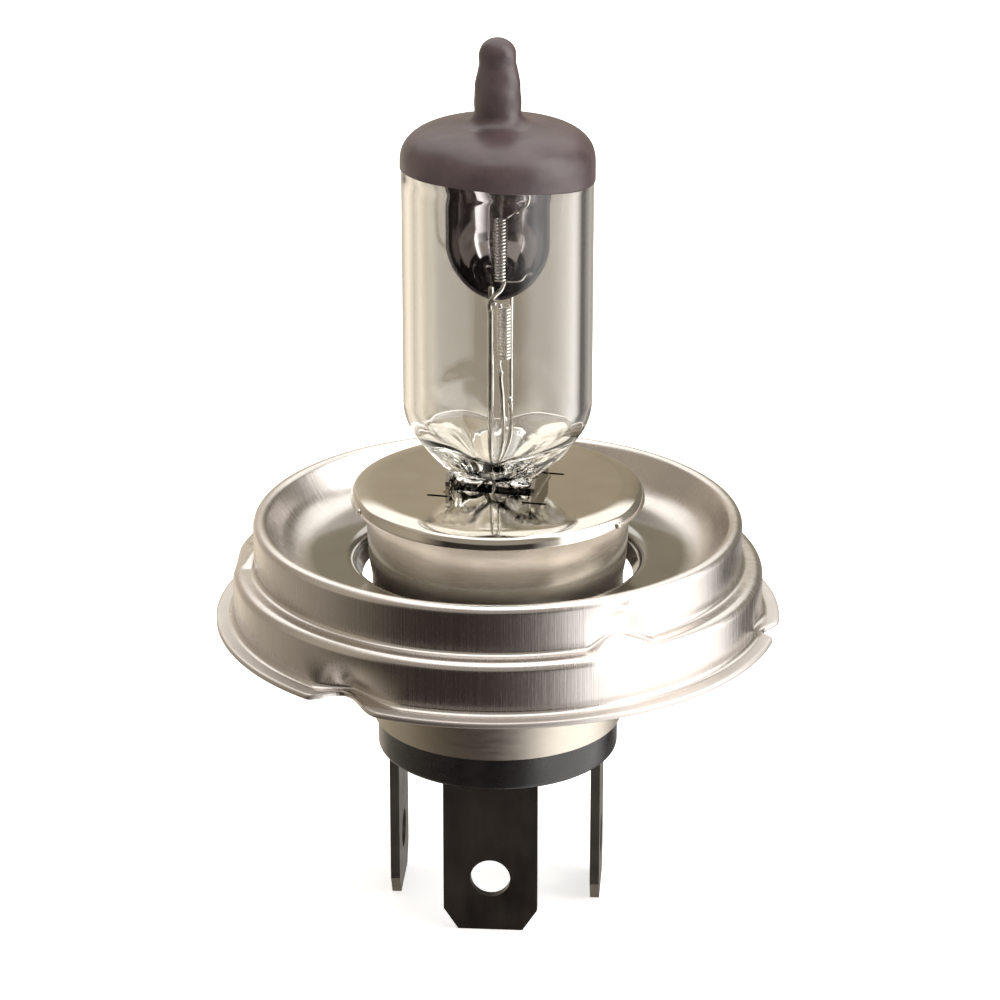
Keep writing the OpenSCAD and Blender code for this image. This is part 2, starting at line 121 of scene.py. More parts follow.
def grid_faces(rows, cols, close_rows, close_cols, start=0):
    """Quads over a rows x cols grid of points stored row by row."""
    faces = []
    for i in range(rows if close_rows else rows - 1):
        for j in range(cols if close_cols else cols - 1):
            a, b = i, (i + 1) % rows
            c, d = j, (j + 1) % cols
            faces.append((start + a * cols + c, start + a * cols + d,
                          start + b * cols + d, start + b * cols + c))
    return faces


def revolve(name, profile, steps, shape=None):
    """Turns a closed outline of (radius, height) round Z. shape(r, z, a, j) moves point j."""
    verts = []
    for i in range(steps):
        a = 2 * math.pi * i / steps
        for j, (r, z) in enumerate(profile):
            if shape:
                r, z = shape(r, z, a, j)
            verts.append((r * math.cos(a), r * math.sin(a), z))
    return make_object(name, verts, grid_faces(steps, len(profile), True, True), angle=50)


def catmull(points, n):
    """Smooth path through the points, n spans between neighbours."""
    pts = [Vector(p) for p in points]
    pts = [2 * pts[0] - pts[1]] + pts + [2 * pts[-1] - pts[-2]]
    out = []
    for i in range(1, len(pts) - 2):
        p0, p1, p2, p3 = pts[i - 1:i + 3]
        for k in range(n):
            t = k / n
            out.append(0.5 * (2 * p1 + (p2 - p0) * t + (2 * p0 - 5 * p1 + 4 * p2 - p3) * t * t
                              + (3 * p1 - p0 - 3 * p2 + p3) * t ** 3))
    out.append(pts[-2])
    return out


def tube(name, path, radius, sides):
    """Round tube along the path, with a rounded cap at both ends."""
    path = [Vector(p) for p in path]
    tangent = (path[1] - path[0]).normalized()
    side = tangent.orthogonal().normalized()
    rings = []
    for i, p in enumerate(path):
        a, b = path[max(i - 1, 0)], path[min(i + 1, len(path) - 1)]
        new = (b - a).normalized()
        side = (tangent.rotation_difference(new) @ side).normalized()
        tangent = new
        rings.append((p, tangent, side, radius))
    p, t, s, r = rings[0]
    first_cap = [(p - t * r * math.sin(a), t, s, r * math.cos(a)) for a in reversed(CAP_ANGLES)]
    p, t, s, r = rings[-1]
    last_cap = [(p + t * r * math.sin(a), t, s, r * math.cos(a)) for a in CAP_ANGLES]
    rings = first_cap + rings + last_cap
    verts = []
    for p, t, s, r in rings:
        other = t.cross(s)
        for k in range(sides):
            a = 2 * math.pi * k / sides
            verts.append(tuple(p + (s * math.cos(a) + other * math.sin(a)) * r))
    faces = grid_faces(len(rings), sides, False, True)
    faces.append(tuple(reversed(range(sides))))
    faces.append(tuple((len(rings) - 1) * sides + k for k in range(sides)))
    return make_object(name, verts, faces, angle=70)


# ---- Material helpers ----------------------------------------------------------------

class Look:
    """Node material with one Principled shader and texture chains in object space."""

    def __init__(self, name, **fixed):
        self.material = bpy.data.materials.new(name)
        self.material.use_nodes = True
        self.nodes = self.material.node_tree.nodes
        self.links = self.material.node_tree.links
        self.shader = self.nodes["Principled BSDF"]
        for key, value in fixed.items():
            self.shader.inputs[key.replace("_", " ")].default_value = value
        self.coord = self.nodes.new("ShaderNodeTexCoord").outputs["Object"]
        self.normal = None

    def add(self, kind, **values):
        node = self.nodes.new(kind)
        for key, value in values.items():
            setattr(node, key, value)
        return node

    def noise(self, scale, detail=3.0, stretch=None, roughness=0.55, vector=None):
        """Noise with features of about 1/scale metres; stretch scales the coordinates first."""
        node = self.add("ShaderNodeTexNoise")
        node.inputs["Scale"].default_value = scale
        node.inputs["Detail"].default_value = detail
        node.inputs["Roughness"].default_value = roughness
        source = vector or self.coord
        if stretch:
            mapping = self.add("ShaderNodeMapping")
            mapping.inputs["Scale"].default_value = stretch
            self.links.new(source, mapping.inputs["Vector"])
            source = mapping.outputs["Vector"]
        self.links.new(source, node.inputs["Vector"])
        return node.outputs["Fac"]

    def axes(self):
        """The point's X, Y and Z."""
        split = self.add("ShaderNodeSeparateXYZ")
        self.links.new(self.coord, split.inputs[0])
        return split.outputs

    def from_axis(self):
        """The point's distance from the Z axis."""
        flat = self.add("ShaderNodeVectorMath", operation="MULTIPLY")
        flat.inputs[1].default_value = (1.0, 1.0, 0.0)
        self.links.new(self.coord, flat.inputs[0])
        length = self.add("ShaderNodeVectorMath", operation="LENGTH")
        self.links.new(flat.outputs["Vector"], length.inputs[0])
        return length.outputs["Value"]

    def polar(self, around, along):
        """Coordinates that run round Z and up Z, for lines that follow a turned part."""
        axes = self.axes()
        out = self.add("ShaderNodeCombineXYZ")
        for source, target, gain in ((self.combine("ARCTAN2", axes["Y"], axes["X"]), "X", around),
                                     (self.from_axis(), "Y", along), (axes["Z"], "Z", along)):
            scale = self.add("ShaderNodeMath", operation="MULTIPLY")
            scale.inputs[1].default_value = gain
            self.links.new(source, scale.inputs[0])
            self.links.new(scale.outputs[0], out.inputs[target])
        return out.outputs[0]

    def span(self, source, low, high, from_low=0.3, from_high=0.7):
        """Maps from_low to from_high onto low to high, and stays there beyond."""
        node = self.add("ShaderNodeMapRange")
        for key, value in (("From Min", from_low), ("From Max", from_high),
                           ("To Min", low), ("To Max", high)):
            node.inputs[key].default_value = value
        self.links.new(source, node.inputs["Value"])
        return node.outputs["Result"]

    def combine(self, operation, first, second):
        node = self.add("ShaderNodeMath", operation=operation)
        self.links.new(first, node.inputs[0])
        self.links.new(second, node.inputs[1])
        return node.outputs[0]

    def times(self, first, second):
        return self.combine("MULTIPLY", first, second)

    def blend(self, share, first, second):
        """The first colour where share is 0, the second where it is 1."""
        node = self.add("ShaderNodeMix", data_type="RGBA")
        self.links.new(share, node.inputs["Factor"])
        self.links.new(first, node.inputs[6])
        self.links.new(second, node.inputs[7])
        return node.outputs[2]

    def tones(self, source, dark, light):
        """Colour that runs from dark to light with the source."""
        node = self.add("ShaderNodeValToRGB")
        for element, position, colour in zip(node.color_ramp.elements, (0.3, 0.7), (dark, light)):
            element.position = position
            element.color = (*colour, 1.0)
        self.links.new(source, node.inputs["Fac"])
        return node.outputs["Color"]

    def drive(self, socket, output):
        self.links.new(output, self.shader.inputs[socket])

    def bump(self, source, height_mm):
        """Adds relief of the given height on top of what is there."""
        node = self.add("ShaderNodeBump")
        node.inputs["Strength"].default_value = 1.0
        node.inputs["Distance"].default_value = height_mm * MM
        self.links.new(source, node.inputs["Height"])
        if self.normal:
            self.links.new(self.normal, node.inputs["Normal"])
        self.normal = node.outputs["Normal"]
        self.links.new(self.normal, self.shader.inputs["Normal"])


def textured(name, tone, dark, light, gloss, low, high, *bumps, **fixed):
    """Look with noise in tone, roughness and relief. tone, gloss and bumps give the noise."""
    look = Look(name, **fixed)
    look.drive("Base Color", look.tones(look.noise(*tone), dark, light))
    look.drive("Roughness", look.span(look.noise(*gloss), low, high))
    for grain, height_mm in bumps:
        look.bump(look.noise(*grain), height_mm)
    return look


def dress(obj, look):
    """Gives obj this look only."""
    obj.data.materials.clear()
    obj.data.materials.append(look.material)
    return obj


def place(obj, slot, *nodes):
    """Fixes a piece to the body and hides the CAD nodes that it stands for; slot is not used."""
    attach(obj, "root")
    if nodes:
        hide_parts(*nodes)


# ---- Materials -----------------------------------------------------------------------

ALONG_Z = (1, 1, 0.3)                # stretches grain upwards
FINE_ALONG_Z = (1, 1, 0.2)

glass = textured("clear_glass", (90,), (0.97, 0.97, 0.95), (1.0, 1.0, 0.99),
                 (260, 4), 0.0, 0.012, ((220, 2, (1, 1, 0.25)), 0.012),
                 IOR=1.48, Transmission_Weight=1.0)
coating = textured("antiglare_lacquer", (350, 5), (0.040, 0.025, 0.027), (0.066, 0.043, 0.045),
                   (500, 4), 0.30, 0.42, ((4500, 3), 0.010), ((380, 2), 0.05), IOR=1.5)
mirror = textured("bright_plate", (160, 3), (0.55, 0.51, 0.45), (0.62, 0.58, 0.52),
                  (420, 5), 0.05, 0.12, ((300, 3), 0.006), Metallic=1.0)
black = textured("black_moulding", (700, 4), (0.005, 0.004, 0.004), (0.010, 0.009, 0.008),
                 (500, 4), 0.22, 0.36, ((2200, 4), 0.010), IOR=1.55)
# Painted shade: a darker, less metallic copy of the grey blade metal, used for the low-beam blade
# to stand in for the shade it shows
shaded_blade = textured("shaded_blade", (420, 5, ALONG_Z), (0.020, 0.015, 0.012),
                      (0.050, 0.040, 0.033), (600, 4), 0.30, 0.5,
                      ((1500, 4, FINE_ALONG_Z), 0.008), Metallic=0.6)
grey_blade = textured("grey_blade", (320, 5, ALONG_Z), (0.13, 0.12, 0.10),
                      (0.22, 0.205, 0.175), (600, 4), 0.30, 0.45,
                      ((1500, 4, FINE_ALONG_Z), 0.008), Metallic=0.9)
moly = textured("molybdenum", (900, 3), (0.56, 0.54, 0.50), (0.68, 0.66, 0.62),
                (1600, 4), 0.12, 0.22, ((900, 3, ALONG_Z), 0.002), Metallic=1.0)
dark_shield = textured("shield_metal", (500, 3), (0.46, 0.43, 0.44), (0.58, 0.55, 0.56),
                       (1200, 4), 0.04, 0.12, ((700, 3), 0.006), Metallic=1.0)
tungsten = textured("tungsten", (1500, 3), (0.72, 0.70, 0.67), (0.86, 0.84, 0.81),
                    (3000, 3), 0.10, 0.18, ((3000, 2), 0.001), Metallic=1.0)
lead_metal = textured("lead_metal", (800, 3), (0.55, 0.53, 0.50), (0.66, 0.64, 0.60),
                      (1600, 3), 0.25, 0.4, ((4000, 3), 0.004), Metallic=1.0)

# Drawn steel: fine upright lines on the walls, a matt flange, and a smooth floor whose colour is
# painted darker than the walls' as painted shade
FLOOR_TO_WALL = (0.0156, 0.0170)     # distances from the axis in metres
WALL_TO_FLANGE = (0.0228, 0.0231)
steel = Look("drawn_steel", Metallic=1.0)
outside = steel.span(steel.from_axis(), 0.0, 1.0, *FLOOR_TO_WALL)
flange = steel.span(steel.from_axis(), 0.0, 1.0, *WALL_TO_FLANGE)
lines = steel.noise(1.0, 4, roughness=0.7, vector=steel.polar(300, 60))
coarse = steel.noise(120, 3)
wall_tone = steel.tones(coarse, (0.55, 0.51, 0.48), (0.64, 0.60, 0.57))
# Painted shade: the floor of the same steel sheet gets a darker colour than the walls, standing in
# for its dimmer reflection
shaded_floor_tone = steel.tones(coarse, (0.285, 0.275, 0.255), (0.33, 0.32, 0.295))
steel.drive("Base Color", steel.blend(outside, shaded_floor_tone, wall_tone))
sheen = steel.times(steel.span(lines, 0.15, 0.30), steel.span(outside, 0.5, 1.0, 0.0, 1.0))
matt = steel.times(flange, steel.span(lines, 0.42, 0.58))
steel.drive("Roughness", steel.combine("MAXIMUM", sheen, matt))
steel.bump(steel.times(lines, outside), 0.010)
steel.bump(steel.noise(900, 4), 0.003)

# Turned shell: fine rings, and rougher from the foot of the cup down
CUP_FOOT = (0.0056, 0.0066)          # heights in metres over which that changes
shell = Look("shell_steel", Metallic=1.0)
rings_round = shell.noise(1.0, 3, roughness=0.6, vector=shell.polar(6, 5000))
shell.drive("Base Color", shell.tones(shell.noise(150, 3), (0.52, 0.47, 0.40),
                                      (0.62, 0.57, 0.50)))
rough_foot = shell.times(shell.span(shell.axes()["Z"], 1.0, 0.0, *CUP_FOOT),
                         shell.span(rings_round, 0.40, 0.52))
shell.drive("Roughness", shell.combine("MAXIMUM", shell.span(rings_round, 0.17, 0.27),
                                       rough_foot))
shell.bump(rings_round, 0.0003)

CAD_LOOKS = {
    "glass_envelope": glass, "antiglare_coating": coating, "dipping_shield": dark_shield,
    "low_beam_filament": tungsten, "high_beam_filament": tungsten,
    "common_support_post": moly, "low_beam_support_wire": moly, "high_beam_support_wire": moly,
    "filament_welds": moly, "common_foil": moly, "low_beam_foil": moly, "high_beam_foil": moly,
    "earth_lead": lead_metal, "low_beam_lead": lead_metal, "high_beam_lead": lead_metal,
    "bulb_plate": mirror, "plate_welds": mirror, "base_shell": shell, "prefocus_ring": steel,
    "ring_welds": steel, "base_insulator": black, "earth_terminal": grey_blade,
    "low_beam_terminal": shaded_blade, "high_beam_terminal": grey_blade,
    "terminal_welds": lead_metal,
}
for name, look in CAD_LOOKS.items():
    dress(NODES[name], look)

# ---- Prefocus ring -------------------------------------------------------------------

THROAT_AT, THROAT_ROUND = (12.9, 4.2), 0.9           # centre and radius of the throat's edge
THROAT_END = 12.85
FLOOR_R, FLOOR_Z, BOWL_R, BOWL_SWEEP = 15.9, 5.1, 3.2, 60
UPPER_R, LIP_Z, LIP_ROUND = 20.7, 8.5, 0.65
LEDGE_Z, LEDGE_R, LEDGE_FILLET = 4.4, 21.7, 0.4
SPIGOT_R, FOOT_FILLET = 22.5, 0.45
FLANGE_ROUND = 0.08
WINDOWS = [math.radians(a) for a in (30, 150, 270)]
WINDOW_HALF, WINDOW_TOP = math.radians(40), 3.0      # openings between the ring's weld tabs
WINDOW_EASE = 0.05

DENTS_FROM_R = 20.3
NOTCHES = [math.radians(a) for a in (62, 182, 302)]  # upper dents, across the step
NOTCH_HALF, NOTCH_DEPTH, NOTCH_LIFT, NOTCH_BITE = 3.0, 0.38, 0.95, 0.25
NOTCH_FADE_Z, NOTCH_FADE_R = (5.2, 8.1), (20.75, 22.3)
LIFT_FROM_Z, LIFT_FADE_R = 4.0, (20.9, 22.0)
BITE_FROM_R, BITE_FADE_Z = 21.5, (2.0, 4.2)
DASH_HALF, DASH_Z, DASH_DEPTH = (1.2, 0.45), 7.75, 0.2   # short mark above each upper dent

# lower dents: azimuth and half width in degrees, depth in the flange's edge, at the wall's foot
LUGS = [(-7, 4.6, 1.15, 0.75), (118, 7.5, 2.4, 1.75), (242.8, 7.5, 2.4, 1.75)]
LUGS_FROM_R = 21.0
LUG_EDGE = (-1.22, -0.52, -0.45, 1.05)               # steep on one side, drawn out on the other
LUG_WALL = (-1.0, -0.8, -0.5, 1.0)
LUG_SOFT = (0.45, 0.22)                              # spread at the foot, and per mm of height
LUG_FADE_Z = (-0.8, 3.6)
FLANGE_MARGIN = 0.3

ring_top = (
    [(SLEEVE_R, 0.3), (SLEEVE_R, 1.4)]
    + arc(*THROAT_AT, THROAT_ROUND, 180, 90, 8)
    + arc(FLOOR_R, FLOOR_Z + BOWL_R, BOWL_R, -90, BOWL_SWEEP - 90, 16)
    + arc(UPPER_R - LIP_ROUND, LIP_Z - LIP_ROUND, LIP_ROUND, 90 + BOWL_SWEEP, 0, 16)
    + arc(UPPER_R + LEDGE_FILLET, LEDGE_Z + LEDGE_FILLET, LEDGE_FILLET, 180, 270, 6)
    + arc(LEDGE_R, LEDGE_Z - SPIGOT_R + LEDGE_R, SPIGOT_R - LEDGE_R, 90, 0, 10)
    + arc(SPIGOT_R + FOOT_FILLET, FOOT_FILLET, FOOT_FILLET, 180, 270, 6)
    + [(FLANGE_R - FLANGE_ROUND, 0.0)])
ring_top = refine(ring_top, 0.25)
ring_under = offset(ring_top, RING_T)
ring_edge = [(FLANGE_R, -FLANGE_ROUND), (FLANGE_R, -RING_T + FLANGE_ROUND)]
ring_profile = ring_top + ring_edge + ring_under[::-1]
ring_source = ring_top + [(FLANGE_R, 0), (FLANGE_R, 0)] + ring_top[::-1]
throat_rows = next(i for i, (r, z) in enumerate(ring_top) if r > THROAT_END)
window_row = next(i for i, (r, z) in enumerate(ring_top) if z > WINDOW_TOP)


def angle_from(a, centre):
    """Angle from centre to a, between minus and plus half a turn."""
    return math.atan2(math.sin(a - centre), math.cos(a - centre))


def near(a, centre):
    """True within about 25 degrees of centre."""
    return math.cos(a - centre) > 0.9


def press_mark(x):
    """Round-bottomed press mark: 1 in the middle, easing to 0 at x = 1 and beyond."""
    return max(1 - x * x, 0.0) ** 1.6


def open_throat(a, row, path):
    """Point of the throat at this azimuth: its rows close up above an open window."""
    opened = sum(1 - smoothstep(WINDOW_HALF - WINDOW_EASE, WINDOW_HALF, abs(angle_from(a, w)))
                 for w in WINDOWS)
    along = opened * window_row + (1 - opened * window_row / throat_rows) * row
    i = min(int(along), len(path) - 2)
    share = along - i
    return (path[i][0] + (path[i + 1][0] - path[i][0]) * share,
            path[i][1] + (path[i + 1][1] - path[i][1]) * share)


def notch_shift(r, z, a):
    """How far inwards and upwards the upper dents move a point of the sheet."""
    inwards = upwards = 0.0
    for centre in NOTCHES:
        if near(a, centre):
            s = UPPER_R * math.sin(angle_from(a, centre))
            press = press_mark(s / NOTCH_HALF)
            dash = press_mark(s / DASH_HALF[0]) * press_mark((z - DASH_Z) / DASH_HALF[1])
            high = 1 - smoothstep(*NOTCH_FADE_Z, z)
            ledge = 1 - smoothstep(*NOTCH_FADE_R, r)
            inwards += (NOTCH_DEPTH * press * high + DASH_DEPTH * dash) * ledge
            if z > LIFT_FROM_Z:
                upwards += NOTCH_LIFT * press * high * (1 - smoothstep(*LIFT_FADE_R, r))
            if r > BITE_FROM_R:
                inwards += NOTCH_BITE * press * smoothstep(*BITE_FADE_Z, z)
    return inwards, upwards


def lug_shift(r, z, a):
    """How far inwards the lower dents move a point of the sheet."""
    inwards = 0.0
    for azimuth, half, depth, press in LUGS:
        centre = math.radians(azimuth)
        if near(a, centre):
            x = angle_from(a, centre) / math.radians(half)
            up = max(z, 0.0)
            soft = LUG_SOFT[0] + LUG_SOFT[1] * up
            edge = smoothstep(*LUG_EDGE[:2], x) * (1 - smoothstep(*LUG_EDGE[2:], x))
            wall = (smoothstep(LUG_WALL[0] - soft, LUG_WALL[1] + soft, x)
                    * (1 - smoothstep(LUG_WALL[2], LUG_WALL[3] + soft, x)))
            share = smoothstep(SPIGOT_R + FLANGE_MARGIN, FLANGE_R - FLANGE_MARGIN, r)
            fade = (1 - smoothstep(*LUG_FADE_Z, up)) / (1 - smoothstep(*LUG_FADE_Z, 0))
            inwards += fade * (press * wall + (depth * edge - press * wall) * share)
    return inwards


def ring_shape(r, z, a, j):
    """Opens the throat between its weld tabs, and presses the dents into the sheet."""
    r0, z0 = ring_source[j]
    top = j < len(ring_top)
    row = j if top else len(ring_profile) - 1 - j
    if row < throat_rows and (top or j > len(ring_top) + 1):
        return open_throat(a, row, ring_top if top else ring_under)
    inwards = upwards = 0.0
    if r0 > DENTS_FROM_R:
        inwards, upwards = notch_shift(r0, z0, a)
    if r0 > LUGS_FROM_R:
        inwards += lug_shift(r0, z0, a)
    return r - inwards, z + upwards


ring = revolve("prefocus_ring_sheet", ring_profile, 900, ring_shape)
place(dress(ring, steel), "ring", "prefocus_ring")

# ---- Glass ----------------------------------------------------------------------------

TUBE_END = 18.7                      # the straight tube ends here and the shoulder starts
SHOULDER_R, SHOULDER_SWEEP = 4.2, 38
NECK_R, NECK_Z = 4.35, 12.3          # foot of the outer cone
PINCH_HALF = (3.3, 2.4)
PINCH_Z = 1.0
PINCH_BLEND = (14.6, 11.6)           # the round neck turns into the flat pinch
PINCH_SQUARE = (2.0, 2.6)            # superellipse power of the neck, and what the pinch adds
PINCH_TURN = math.radians(-8.7)      # the pinch, its hole and the ears sit slightly turned
RIPPLE, RIPPLE_TOP, RIPPLE_FADE = 0.045, 14.2, 1.5
SWELL, SWELL_TOP, SWELL_FADE = 0.21, 14.0, 2.5
GROOVE_AT, GROOVE_HALF, GROOVE_DEPTH, GROOVE_FADE = -0.5, 0.75, 0.75, (13.2, 11.8)
CAVITY_FOOT = (0.6, 12.6)
CAVITY_END_R, CAVITY_END_Z = 0.5, 45.5   # the gas space narrows to the sealed tip
AXIS_R = 0.02                        # where an outline stops short of the axis
LOBE_DEPTH, LOBE_HALF, LOBE_FADE = 1.15, 2.1, (0.3, 2.2)   # two lobes in the gas space's floor


def turned(x, y):
    """A point of the pinch's own plan turned into the row frame."""
    c, d = math.cos(PINCH_TURN), math.sin(PINCH_TURN)
    return x * c - y * d, x * d + y * c


def dome(r, z, rise, n, end):
    """Rounded end of the tube: flatter than an ellipse on top, fuller at the side."""
    return [(r * math.cos(math.radians(end * i / n)) ** 0.59,
             z + rise * math.sin(math.radians(end * i / n)) ** 0.79) for i in range(n + 1)]


def glass_top(t):
    """Outline from the straight tube up over the dome to the sealed tip, t outside the glass."""
    foot = DOME_Z + DOME_RISE + t
    slim = TIP_R + t - 0.38
    round_z, round_rise = TIP_Z - 1.3, 1.3 + t
    return (dome(GLASS_R + t, DOME_Z, DOME_RISE + t, 30, 78)
            + arc(TIP_R + t + TIP_FILLET, foot + TIP_FILLET, TIP_FILLET, 250, 180, 10)
            + [(TIP_R + t, foot + 2.6), (TIP_R + t - 0.05, foot + 3.3),
               (TIP_R + t - 0.20, foot + 4.1), (slim - 0.02, TIP_Z - 2.0), (slim, TIP_Z - 1.5)]
            + [(slim * math.cos(math.radians(a)), round_z + round_rise * math.sin(math.radians(a)))
               for a in range(0, 90, 8)] + [(AXIS_R, TIP_Z + t)])


def superellipse(a, b, power, angle):
    """Point of a rounded rectangle with half sizes a and b; power 2 makes it an ellipse."""
    c, s = math.cos(angle), math.sin(angle)
    return (a * math.copysign(abs(c) ** (2 / power), c),
            b * math.copysign(abs(s) ** (2 / power), s))


def pinch_section(z):
    """Half widths and squareness of the glass at a height below the dome."""
    sweep = math.radians(SHOULDER_SWEEP)
    inner = GLASS_R - SHOULDER_R
    top = TUBE_END - SHOULDER_R * math.sin(sweep)
    if z > top:
        drop = min(max(TUBE_END - z, 0.0), SHOULDER_R)
        r = inner + math.sqrt(SHOULDER_R ** 2 - drop ** 2)
    else:
        cone = inner + SHOULDER_R * math.cos(sweep)
        r = NECK_R + (cone - NECK_R) * (z - NECK_Z) / (top - NECK_Z)
    r = max(r, PINCH_HALF[0])
    t = smoothstep(*PINCH_BLEND, z)
    return (r + (PINCH_HALF[0] - r) * t, r + (PINCH_HALF[1] - r) * t,
            PINCH_SQUARE[0] + PINCH_SQUARE[1] * t)


def pressed(x, y, z, a, b):
    """Ripples, swell and the middle groove that pressing leaves in the foot of the glass."""
    if z < RIPPLE_TOP:
        p = Vector((x, y, z))
        shift = (RIPPLE * min(1.0, (RIPPLE_TOP - z) / RIPPLE_FADE)
                 * (noise.noise(p * 1.5) + 0.6 * noise.noise(p * 3.1)))
        x, y = x * (1 + shift), y * (1 + shift)
    if z < SWELL_TOP:
        flat_side = abs(y) > 0.6 * b
        p = Vector((x, y, z)) * 0.55
        swell = noise.noise(p) + 0.5 * noise.noise(p * 2.3)
        scale = 1 - SWELL * min(1.0, (SWELL_TOP - z) / SWELL_FADE) * (0.35 + swell) / a
        x, y = x * scale, y * scale
        if flat_side:
            groove = (GROOVE_DEPTH * math.exp(-((x - GROOVE_AT) / GROOVE_HALF) ** 2)
                      * smoothstep(*GROOVE_FADE, z))
            y -= math.copysign(groove, y)
    return x, y


def build_glass():
    steps = 192
    turns = [2 * math.pi * k / steps for k in range(steps)]
    row_step, tube_rows = 0.15, 24
    heights = [PINCH_Z + row_step * i for i in range(int((TUBE_END - PINCH_Z) / row_step))]
    heights += [TUBE_END + (DOME_Z - TUBE_END) * i / tube_rows for i in range(tube_rows)]
    verts = []
    for z in heights:
        a, b, power = pinch_section(z)
        for angle in turns:
            x, y = pressed(*superellipse(a, b, power, angle), z, a, b)
            verts.append((*turned(x, y), z))
    for r, z in refine(glass_top(0), 0.35):
        verts += [(r * math.cos(angle), r * math.sin(angle), z) for angle in turns]
    start = len(verts)
    faces = grid_faces(start // steps, steps, False, True)
    faces.append(tuple(reversed(range(steps))))
    faces.append(tuple(range(start - steps, start)))
    # gas space, facing inwards
    cavity = ([(AXIS_R, CAVITY_FOOT[1] - 0.1), CAVITY_FOOT]
              + arc(GLASS_R - SHOULDER_R, TUBE_END, SHOULDER_R - GLASS_WALL, -52, 0, 20)
              + dome(GLASS_R - GLASS_WALL, DOME_Z, DOME_RISE - GLASS_WALL, 24, 88)
              + [(CAVITY_END_R + 0.05, DOME_Z + DOME_RISE - GLASS_WALL + 0.3),
                 (CAVITY_END_R, CAVITY_END_Z), (AXIS_R, CAVITY_END_Z + 0.1)])
    cavity = refine(cavity, 0.5)
    for r, z in cavity:
        low = 1 - smoothstep(TUBE_END - 2.5, TUBE_END + 1.0, z)
        foot = smoothstep(CAVITY_FOOT[1] + 3.4, CAVITY_FOOT[1] + 0.6, z)
        for angle in turns:
            x, y = r * math.cos(angle), r * math.sin(angle)
            lobe = math.exp(-(x / LOBE_HALF) ** 2) * smoothstep(*LOBE_FADE, abs(y))
            p = Vector((x, y, z))
            swell = 0.22 * noise.noise(p * 0.35) * low + 0.05 * noise.noise(p * 1.6) * foot
            verts.append((x, y, z - LOBE_DEPTH * lobe * low + swell))
    inner = grid_faces(len(cavity), steps, False, True, start)
    inner.append(tuple(reversed(range(start, start + steps))))
    inner.append(tuple(range(len(verts) - steps, len(verts))))
    faces += [tuple(reversed(f)) for f in inner]
    return make_object("glass_bulb", verts, faces, angle=60)


place(dress(build_glass(), glass), "glass", "glass_envelope")

# ---- Coating --------------------------------------------------------------------------

COAT_EDGE_Z = 38.25
COAT_FROM = 36.0                     # the outline starts here, then its foot moves to the edge
COAT_GAP = 0.015
COAT_THIN = 0.010                    # how much the lacquer thins out at its edge
COAT_SLOPE = (math.tan(math.radians(-4.6)), math.tan(math.radians(3.9)))


def coat_edge(x, y):
    """Height of the lacquer's lower edge: a dipped line, slightly tilted and uneven."""
    a = math.atan2(y, x)
    sag = 0.03 * math.sin(3 * a + 0.6) + 0.02 * math.sin(7 * a + 2.0)
    return COAT_EDGE_Z + COAT_SLOPE[0] * y - COAT_SLOPE[1] * x + sag


def build_coating():
    steps = 240
    outer = refine([(GLASS_R + COAT_T, COAT_FROM)] + glass_top(COAT_T), 0.3)
    inner = refine([(GLASS_R + COAT_GAP, COAT_FROM)] + glass_top(COAT_GAP), 0.3)
    rows = [(r, z, True) for r, z in outer] + [(r, z, False) for r, z in reversed(inner)]
    verts = []
    for r, z, outside_row in rows:
        for k in range(steps):
            a = 2 * math.pi * k / steps
            x, y = r * math.cos(a), r * math.sin(a)
            edge = coat_edge(x, y)
            lift = z
            scale = 1.0
            if z < DOME_Z:
                share = (z - COAT_FROM) / (DOME_Z - COAT_FROM)
                lift = edge + (DOME_Z - edge) * share
                if outside_row:
                    scale = 1 - COAT_THIN * (1 - smoothstep(0.0, 0.10, share))
            elif z > DOME_Z + DOME_RISE + 1.0:
                scale = 1 + 0.05 * noise.noise(Vector((x, y, z)) * 0.8)
            verts.append((x * scale, y * scale, lift))
    return make_object("antiglare_cap", verts, grid_faces(len(rows), steps, True, True), angle=60)


place(dress(build_coating(), coating), "coating", "antiglare_coating")

# ---- Dipping shield -------------------------------------------------------------------

SPOON_POWER = 1.12                   # above 1 it makes the spoon's outline more pointed
HALF_SLIT = 0.2                      # the sheet's open edges reach this far past the middle
CHANNEL_DEPTH = 0.13                 # flat channel up the back, above the spoon
CHANNEL_FADE_Z, CHANNEL_FADE_TURN = (34.7, 35.0), (0.55, 0.8)


def build_shield():
    outline = [(max(SHIELD_R * math.sin(math.radians(a)) ** SPOON_POWER, 0.03),
                SHIELD_SIDE - SHIELD_DROP * math.cos(math.radians(a)) ** SPOON_POWER)
               for a in range(0, 90, 3)]
    outline += [(SHIELD_R, SHIELD_SIDE + (SHIELD_TOP - SHIELD_SIDE) * i / 24) for i in range(25)]
    cols = 72
    verts = []
    for r, z in outline:
        lean = math.asin(min(HALF_SLIT / r, 1.0))
        for k in range(cols):
            a = -lean + (math.pi + 2 * lean) * k / (cols - 1)
            back = smoothstep(*CHANNEL_FADE_TURN, max(math.sin(a), 0.0))
            pushed = r - CHANNEL_DEPTH * smoothstep(*CHANNEL_FADE_Z, z) * back
            verts.append((pushed * math.cos(a), pushed * math.sin(a), z))
    obj = make_object("dipping_shield_sheet", verts, grid_faces(len(outline), cols, False, False),
                      angle=50)
    sheet = obj.modifiers.new("sheet", "SOLIDIFY")
    sheet.thickness = SHIELD_T * MM
    sheet.offset = -1.0
    edge = obj.modifiers.new("edge", "BEVEL")
    edge.width = 0.06 * MM
    edge.segments = 2
    edge.limit_method = "ANGLE"
    edge.angle_limit = math.radians(50)
    return obj


